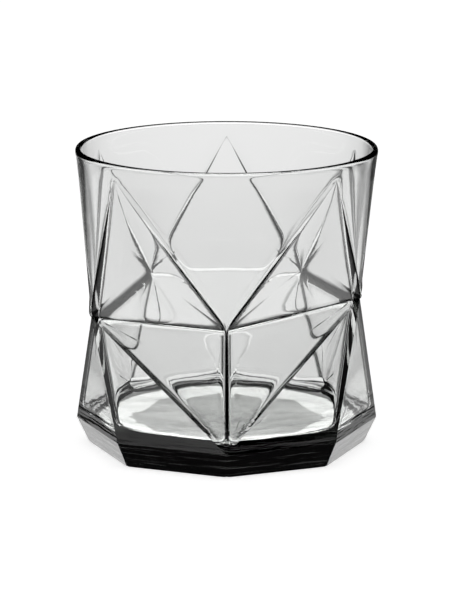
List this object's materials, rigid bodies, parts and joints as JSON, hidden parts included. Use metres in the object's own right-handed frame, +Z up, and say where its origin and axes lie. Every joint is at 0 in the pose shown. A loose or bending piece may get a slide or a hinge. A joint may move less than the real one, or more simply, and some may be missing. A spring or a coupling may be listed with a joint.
{
  "type": "whiskey tumbler",
  "caption": "Short round-rimmed glass tumbler with a faceted, waisted wall and an eight-sided heel, for whiskey and other short drinks.",
  "frame": {"origin": "middle of the foot, on the surface that the tumbler stands on", "axes": "+Z up through the middle of the rim; -Y is the front, where one waist corner stands above one heel corner"},
  "size_m": [0.0902, 0.0902, 0.0904],
  "materials": {
    "smoked_glass": "clear pressed glass, fire-polished, with a light neutral smoke tint"
  },
  "bodies": {
    "root": {"tumbler_glass": "smoked_glass"}
  },
  "joints": []
}
